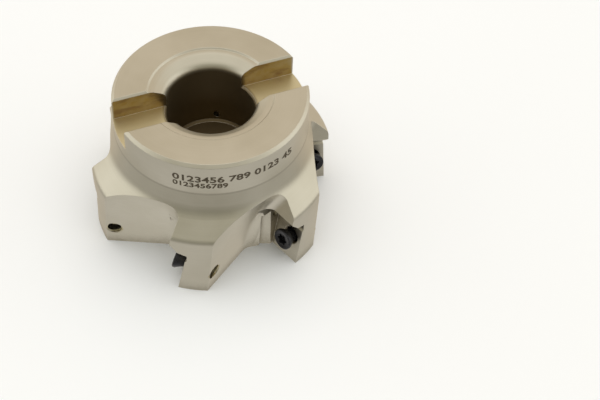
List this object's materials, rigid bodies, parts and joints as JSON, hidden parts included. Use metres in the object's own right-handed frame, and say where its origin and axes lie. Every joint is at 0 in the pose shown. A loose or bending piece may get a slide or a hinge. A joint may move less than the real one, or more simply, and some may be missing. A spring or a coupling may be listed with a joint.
{
  "type": "face mill",
  "caption": "Shell-type shoulder face mill body with a keyed arbor bore, raked open insert seats beside chip gullets, and a black screw waiting in each seat.",
  "frame": {"origin": "on the tool's axis, in the plane of the flat cutting-end face that the body stands on", "axes": "+Z along the spindle axis from the cutting end towards the hub; +X along the drive slot; +Y across it"},
  "size_m": [0.061, 0.0578, 0.0396],
  "materials": {
    "nickel_plated_steel": "satin nickel plate over fine turning and milling marks",
    "black_oxide_steel": "oiled black oxide, semi-gloss"
  },
  "bodies": {
    "cutter": {"cutter_body": "nickel_plated_steel"},
    "insert_screw_1_body": {"insert_screw_1": "black_oxide_steel"},
    "insert_screw_2_body": {"insert_screw_2": "black_oxide_steel"},
    "insert_screw_3_body": {"insert_screw_3": "black_oxide_steel"},
    "insert_screw_4_body": {"insert_screw_4": "black_oxide_steel"},
    "insert_screw_5_body": {"insert_screw_5": "black_oxide_steel"},
    "insert_screw_6_body": {"insert_screw_6": "black_oxide_steel"}
  },
  "joints": [
    {"name": "insert_screw_1_withdraw", "type": "slide", "parent": "cutter", "child": "insert_screw_1_body", "axis": [-0.1649, -0.97, 0.1788], "range_m": [-0.0014, 0.008]},
    {"name": "insert_screw_2_withdraw", "type": "slide", "parent": "cutter", "child": "insert_screw_2_body", "axis": [0.7575, -0.6278, 0.1788], "range_m": [-0.0014, 0.008]},
    {"name": "insert_screw_3_withdraw", "type": "slide", "parent": "cutter", "child": "insert_screw_3_body", "axis": [0.9225, 0.3421, 0.1788], "range_m": [-0.0014, 0.008]},
    {"name": "insert_screw_4_withdraw", "type": "slide", "parent": "cutter", "child": "insert_screw_4_body", "axis": [0.1649, 0.97, 0.1788], "range_m": [-0.0014, 0.008]},
    {"name": "insert_screw_5_withdraw", "type": "slide", "parent": "cutter", "child": "insert_screw_5_body", "axis": [-0.7575, 0.6278, 0.1788], "range_m": [-0.0014, 0.008]},
    {"name": "insert_screw_6_withdraw", "type": "slide", "parent": "cutter", "child": "insert_screw_6_body", "axis": [-0.9225, -0.3421, 0.1788], "range_m": [-0.0014, 0.008]}
  ]
}
